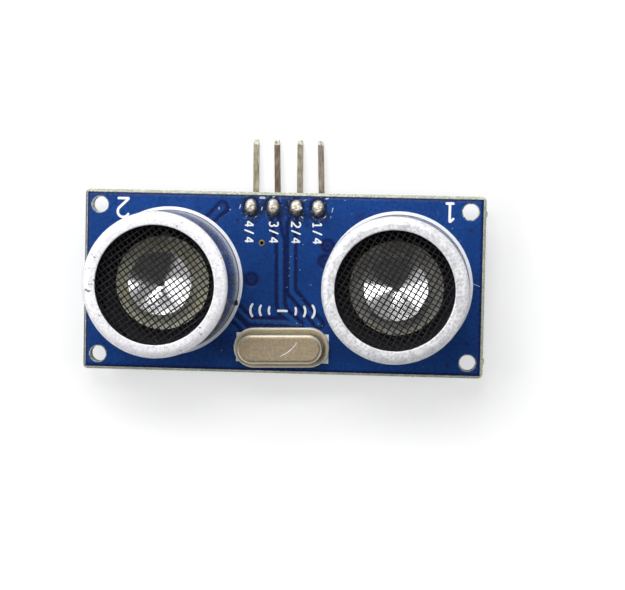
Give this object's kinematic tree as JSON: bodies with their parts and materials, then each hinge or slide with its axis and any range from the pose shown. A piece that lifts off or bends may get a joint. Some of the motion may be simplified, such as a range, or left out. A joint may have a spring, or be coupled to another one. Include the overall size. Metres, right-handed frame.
{
  "type": "ultrasonic ranging sensor module",
  "caption": "Blue circuit board with a receiving and a transmitting ultrasonic can side by side, a quartz crystal and a right-angle pin header.",
  "frame": {"origin": "centre of the rectangle of mounting holes, on the board's back face", "axes": "+X along the board towards the transmitting can, +Y across the board towards the pin header, +Z out of the board's front, the way the cans look"},
  "size_m": [0.0456, 0.0266, 0.0173],
  "materials": {
    "solder_mask": "blue solder mask over glass-fibre laminate",
    "can_aluminium": "drawn aluminium, satin ring, polished wall",
    "screen_wire": "woven steel wire, dull",
    "cone_aluminium": "spun sheet, bright",
    "plate_brass": "dull rolled sheet",
    "piezo_ceramic": "fired, unglazed",
    "silicone": "soft cast silicone",
    "black_moulding": "moulded black plastic",
    "tinned_wire": "tinned drawn wire",
    "nickel_shell": "drawn nickel-plated shell",
    "seal_glass": "fused glass bead",
    "plated_pin": "plated square wire, dull",
    "solder": "frozen solder, bright",
    "black_epoxy": "moulded epoxy, fine grain",
    "tinned_sheet": "tinned stamped sheet",
    "resistor_coat": "black glaze coat",
    "capacitor_ceramic": "fired tan ceramic"
  },
  "bodies": {
    "root": {"circuit_board": "solder_mask", "receiver_can": "can_aluminium", "receiver_screen": "screen_wire", "receiver_cone": "cone_aluminium", "receiver_vibrator_plate": "plate_brass", "receiver_piezo_disc": "piezo_ceramic", "receiver_damper_ring": "silicone", "receiver_base": "black_moulding", "receiver_terminals": "tinned_wire", "receiver_lead_wires": "tinned_wire", "transmitter_can": "can_aluminium", "transmitter_screen": "screen_wire", "transmitter_cone": "cone_aluminium", "transmitter_vibrator_plate": "plate_brass", "transmitter_piezo_disc": "piezo_ceramic", "transmitter_damper_ring": "silicone", "transmitter_base": "black_moulding", "transmitter_terminals": "tinned_wire", "transmitter_lead_wires": "tinned_wire", "crystal_cover": "nickel_shell", "crystal_base_plate": "nickel_shell", "crystal_leads": "tinned_wire", "crystal_glass_seals": "seal_glass", "header_housing": "black_moulding", "header_pin_1": "plated_pin", "header_pin_2": "plated_pin", "header_pin_3": "plated_pin", "header_pin_4": "plated_pin", "header_solder": "solder", "terminal_solder": "solder", "crystal_solder": "solder", "controller_package": "black_epoxy", "controller_legs": "tinned_sheet", "amplifier_package": "black_epoxy", "amplifier_legs": "tinned_sheet", "driver_package": "black_epoxy", "driver_legs": "tinned_sheet", "transistor_package": "black_epoxy", "transistor_legs": "tinned_sheet", "resistor_bodies": "resistor_coat", "resistor_ends": "tinned_sheet", "capacitor_bodies": "capacitor_ceramic", "capacitor_ends": "tinned_sheet"}
  },
  "joints": []
}
